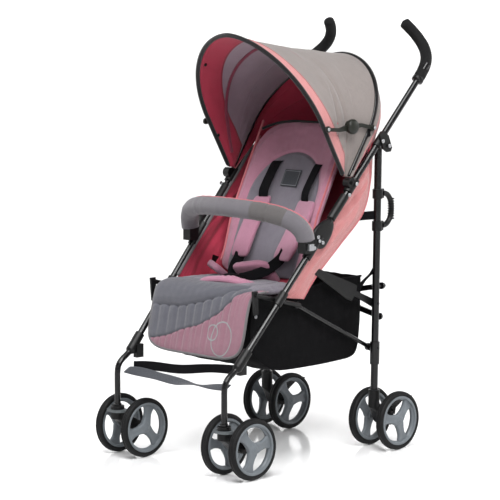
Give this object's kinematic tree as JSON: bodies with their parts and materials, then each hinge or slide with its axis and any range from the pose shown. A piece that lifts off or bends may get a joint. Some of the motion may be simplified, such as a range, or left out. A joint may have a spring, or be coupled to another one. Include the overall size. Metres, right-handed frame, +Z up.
{
  "type": "baby stroller",
  "caption": "Umbrella-fold baby stroller with twin wheels on four legs, front swivel casters, a folding hood, a padded seat with harness, a bumper bar, a calf rest and a basket.",
  "frame": {"origin": "centre of the bounding box on the floor", "axes": "+Z up, the child faces -Y, the stroller's left side is +X"},
  "size_m": [0.501, 0.7766, 1.1007],
  "materials": {
    "tube_black": "gloss powder coat",
    "steel": "bright zinc",
    "plastic_black": "moulded",
    "plastic_olive": "moulded, satin",
    "foam": "foam rubber",
    "tyre": "moulded EVA",
    "rim": "moulded, satin",
    "cloth_grey": "woven polyester",
    "cloth_taupe": "woven polyester",
    "cloth_plum": "woven polyester",
    "cloth_pink": "woven polyester",
    "cloth_black": "woven polyester"
  },
  "bodies": {
    "seat": {"seat_cover": "cloth_grey", "basket": "cloth_black", "buckle": "plastic_black", "foot_straps": "cloth_black", "hood_bow_rear": "tube_black", "canopy_rear": "cloth_pink"},
    "rear_cross": {"cross_pivot": "steel"},
    "frame_left": {"front_tube_left": "tube_black", "handle_grip_left": "foam", "hub_plate_left": "plastic_black", "hood_clamp_left": "plastic_black", "bumper_mount_left": "plastic_black", "foot_joint_left": "plastic_black", "caster_stem_left": "tube_black", "seat_rail_left": "plastic_black"},
    "leg_left": {"rear_leg_left": "tube_black", "axle_housing_left": "plastic_black", "carry_handle": "plastic_black"},
    "brace_left": {"side_brace_left": "tube_black"},
    "strut_left": {"strut_left": "plastic_black"},
    "caster_left": {"caster_housing_left": "plastic_black"},
    "lock_left": {"swivel_lock_left": "rim"},
    "brake_left": {"brake_pedal_left": "plastic_black"},
    "stay_rear_left": {"knuckle_rear_left": "plastic_olive"},
    "stay_front_left": {"knuckle_front_left": "plastic_olive"},
    "wheel_front_left_outer": {"wheel_front_left_outer": "tyre"},
    "wheel_front_left_inner": {"wheel_front_left_inner": "tyre"},
    "wheel_rear_left_outer": {"wheel_rear_left_outer": "tyre"},
    "wheel_rear_left_inner": {"wheel_rear_left_inner": "tyre"},
    "frame_right": {"front_tube_right": "tube_black", "handle_grip_right": "foam", "hub_plate_right": "plastic_black", "hood_clamp_right": "plastic_black", "bumper_mount_right": "plastic_black", "foot_joint_right": "plastic_black", "caster_stem_right": "tube_black", "seat_rail_right": "plastic_black"},
    "leg_right": {"rear_leg_right": "tube_black", "axle_housing_right": "plastic_black"},
    "brace_right": {"side_brace_right": "tube_black"},
    "strut_right": {"strut_right": "plastic_black"},
    "caster_right": {"caster_housing_right": "plastic_black"},
    "lock_right": {"swivel_lock_right": "rim"},
    "brake_right": {"brake_pedal_right": "plastic_black"},
    "stay_rear_right": {"knuckle_rear_right": "plastic_olive"},
    "stay_front_right": {"knuckle_front_right": "plastic_olive"},
    "wheel_front_right_outer": {"wheel_front_right_outer": "tyre"},
    "wheel_front_right_inner": {"wheel_front_right_inner": "tyre"},
    "wheel_rear_right_outer": {"wheel_rear_right_outer": "tyre"},
    "wheel_rear_right_inner": {"wheel_rear_right_inner": "tyre"},
    "cross_a": {"cross_bar_a": "tube_black"},
    "cross_b": {"cross_bar_b": "tube_black"},
    "hood": {"hood_bow_front": "tube_black"},
    "hood_mid": {"canopy_mid": "cloth_taupe"},
    "backrest": {"back_pad": "cloth_plum", "harness": "cloth_pink"},
    "calf": {"calf_rest": "cloth_grey"},
    "bumper": {"bumper_bar": "cloth_grey"},
    "latch": {"bumper_latch": "plastic_black"},
    "button": {"buckle_button": "plastic_black"}
  },
  "joints": [
    {"name": "fold", "type": "hinge", "parent": "seat", "child": "rear_cross", "pos_m": [0, 0.17235, 0.78], "axis": [-1, 0, 0], "range_deg": [0, 30], "deforming": ["seat_cover", "back_pad", "harness", "calf_rest", "basket", "bumper_bar", "foot_straps", "hood_bow_front", "hood_bow_rear", "canopy_mid", "canopy_rear"]},
    {"name": "narrow_frame_left", "type": "slide", "parent": "seat", "child": "frame_left", "axis": [-1, 0, 0], "range_m": [0, 0.095]},
    {"name": "narrow_leg_left", "type": "slide", "parent": "rear_cross", "child": "leg_left", "axis": [-1, 0, 0], "range_m": [0, 0.095]},
    {"name": "narrow_frame_right", "type": "slide", "parent": "seat", "child": "frame_right", "axis": [1, 0, 0], "range_m": [0, 0.095]},
    {"name": "narrow_leg_right", "type": "slide", "parent": "rear_cross", "child": "leg_right", "axis": [1, 0, 0], "range_m": [0, 0.095]},
    {"name": "cross_a_turn", "type": "hinge", "parent": "rear_cross", "child": "cross_a", "pos_m": [0, 0.18485, 0.38], "axis": [0, 1, 0], "range_deg": [0, 48.6]},
    {"name": "cross_b_turn", "type": "hinge", "parent": "rear_cross", "child": "cross_b", "pos_m": [0, 0.19045, 0.38], "axis": [0, -1, 0], "range_deg": [0, 48.6]},
    {"name": "brace_turn_left", "type": "hinge", "parent": "leg_left", "child": "brace_left", "pos_m": [0.19461, 0.17075, 0.262], "axis": [-1, 0, 0], "range_deg": [0, 64.5]},
    {"name": "strut_turn_left", "type": "hinge", "parent": "leg_left", "child": "strut_left", "pos_m": [0.19601, 0.17111, 0.376], "axis": [-1, 0, 0], "range_deg": [0, 64.5]},
    {"name": "brace_turn_right", "type": "hinge", "parent": "leg_right", "child": "brace_right", "pos_m": [-0.19461, 0.17075, 0.262], "axis": [-1, 0, 0], "range_deg": [0, 64.5]},
    {"name": "strut_turn_right", "type": "hinge", "parent": "leg_right", "child": "strut_right", "pos_m": [-0.19601, 0.17111, 0.376], "axis": [-1, 0, 0], "range_deg": [0, 64.5]},
    {"name": "hood_fold", "type": "hinge", "parent": "seat", "child": "hood", "pos_m": [0, 0.04985, 0.69252], "axis": [-1, 0, 0], "range_deg": [0, 55]},
    {"name": "canopy_fold", "type": "hinge", "parent": "seat", "child": "hood_mid", "pos_m": [0, 0.04985, 0.69252], "axis": [-1, 0, 0], "range_deg": [0, 27.5]},
    {"name": "stay_rear_turn_left", "type": "hinge", "parent": "frame_left", "child": "stay_rear_left", "pos_m": [0.2095, 0.1359, 0.82503], "axis": [-1, 0, 0], "range_deg": [0, 106.1]},
    {"name": "stay_front_turn_left", "type": "hinge", "parent": "stay_rear_left", "child": "stay_front_left", "pos_m": [0.2095, 0.05314, 0.83206], "axis": [1, 0, 0], "range_deg": [0, 157.9]},
    {"name": "stay_rear_turn_right", "type": "hinge", "parent": "frame_right", "child": "stay_rear_right", "pos_m": [-0.2095, 0.1359, 0.82503], "axis": [-1, 0, 0], "range_deg": [0, 106.1]},
    {"name": "stay_front_turn_right", "type": "hinge", "parent": "stay_rear_right", "child": "stay_front_right", "pos_m": [-0.2095, 0.05314, 0.83206], "axis": [1, 0, 0], "range_deg": [0, 157.9]},
    {"name": "recline", "type": "hinge", "parent": "seat", "child": "backrest", "pos_m": [0, -0.05488, 0.43065], "axis": [-1, 0, 0], "range_deg": [0, 20]},
    {"name": "calf_lift", "type": "hinge", "parent": "seat", "child": "calf", "pos_m": [0, -0.23388, 0.431], "axis": [-1, 0, 0], "range_deg": [0, 60]},
    {"name": "bumper_swing", "type": "hinge", "parent": "frame_right", "child": "bumper", "pos_m": [-0.20619, -0.09674, 0.56648], "axis": [0, 0, -1], "range_deg": [0, 80]},
    {"name": "latch_press", "type": "slide", "parent": "frame_left", "child": "latch", "axis": [-1, 0, 0], "range_m": [0, 0.004], "stiffness_N_per_m": 900},
    {"name": "button_press", "type": "slide", "parent": "seat", "child": "button", "axis": [0, 0, -1], "range_m": [0, 0.003], "stiffness_N_per_m": 900},
    {"name": "caster_swivel_left", "type": "hinge", "parent": "frame_left", "child": "caster_left", "pos_m": [0.193, -0.36081, 0.11], "axis": [0, 0, 1], "continuous": true},
    {"name": "swivel_lock_slide_left", "type": "slide", "parent": "caster_left", "child": "lock_left", "axis": [0, 0, 1], "range_m": [0, 0.008]},
    {"name": "brake_step_left", "type": "hinge", "parent": "leg_left", "child": "brake_left", "pos_m": [0.193, 0.22035, 0.096], "axis": [-1, 0, 0], "range_deg": [0, 25]},
    {"name": "wheel_front_left_outer_spin", "type": "hinge", "parent": "caster_left", "child": "wheel_front_left_outer", "pos_m": [0.2405, -0.31331, 0.075], "axis": [1, 0, 0], "continuous": true},
    {"name": "wheel_front_left_inner_spin", "type": "hinge", "parent": "caster_left", "child": "wheel_front_left_inner", "pos_m": [0.1455, -0.31331, 0.075], "axis": [1, 0, 0], "continuous": true},
    {"name": "wheel_rear_left_outer_spin", "type": "hinge", "parent": "leg_left", "child": "wheel_rear_left_outer", "pos_m": [0.2405, 0.20835, 0.075], "axis": [1, 0, 0], "continuous": true},
    {"name": "wheel_rear_left_inner_spin", "type": "hinge", "parent": "leg_left", "child": "wheel_rear_left_inner", "pos_m": [0.1455, 0.20835, 0.075], "axis": [1, 0, 0], "continuous": true},
    {"name": "caster_swivel_right", "type": "hinge", "parent": "frame_right", "child": "caster_right", "pos_m": [-0.193, -0.36081, 0.11], "axis": [0, 0, 1], "continuous": true},
    {"name": "swivel_lock_slide_right", "type": "slide", "parent": "caster_right", "child": "lock_right", "axis": [0, 0, 1], "range_m": [0, 0.008]},
    {"name": "brake_step_right", "type": "hinge", "parent": "leg_right", "child": "brake_right", "pos_m": [-0.193, 0.22035, 0.096], "axis": [-1, 0, 0], "range_deg": [0, 25]},
    {"name": "wheel_front_right_outer_spin", "type": "hinge", "parent": "caster_right", "child": "wheel_front_right_outer", "pos_m": [-0.2405, -0.31331, 0.075], "axis": [1, 0, 0], "continuous": true},
    {"name": "wheel_front_right_inner_spin", "type": "hinge", "parent": "caster_right", "child": "wheel_front_right_inner", "pos_m": [-0.1455, -0.31331, 0.075], "axis": [1, 0, 0], "continuous": true},
    {"name": "wheel_rear_right_outer_spin", "type": "hinge", "parent": "leg_right", "child": "wheel_rear_right_outer", "pos_m": [-0.2405, 0.20835, 0.075], "axis": [1, 0, 0], "continuous": true},
    {"name": "wheel_rear_right_inner_spin", "type": "hinge", "parent": "leg_right", "child": "wheel_rear_right_inner", "pos_m": [-0.1455, 0.20835, 0.075], "axis": [1, 0, 0], "continuous": true}
  ],
  "couplings": [
    {"joint": "narrow_frame_left", "follows": "fold", "m_per_rad": 0.18144},
    {"joint": "narrow_leg_left", "follows": "fold", "m_per_rad": 0.18144},
    {"joint": "narrow_frame_right", "follows": "fold", "m_per_rad": 0.18144},
    {"joint": "narrow_leg_right", "follows": "fold", "m_per_rad": 0.18144},
    {"joint": "cross_a_turn", "follows": "fold", "ratio": 1.6127},
    {"joint": "cross_b_turn", "follows": "fold", "ratio": 1.6127},
    {"joint": "brace_turn_left", "follows": "fold", "ratio": 2.14},
    {"joint": "strut_turn_left", "follows": "fold", "ratio": 1.85},
    {"joint": "brace_turn_right", "follows": "fold", "ratio": 2.14},
    {"joint": "strut_turn_right", "follows": "fold", "ratio": 1.85},
    {"joint": "canopy_fold", "follows": "hood_fold", "ratio": 0.5},
    {"joint": "stay_rear_turn_left", "follows": "hood_fold", "ratio": 1.9202},
    {"joint": "stay_front_turn_left", "follows": "hood_fold", "ratio": 2.8624},
    {"joint": "stay_rear_turn_right", "follows": "hood_fold", "ratio": 1.9202},
    {"joint": "stay_front_turn_right", "follows": "hood_fold", "ratio": 2.8624}
  ]
}
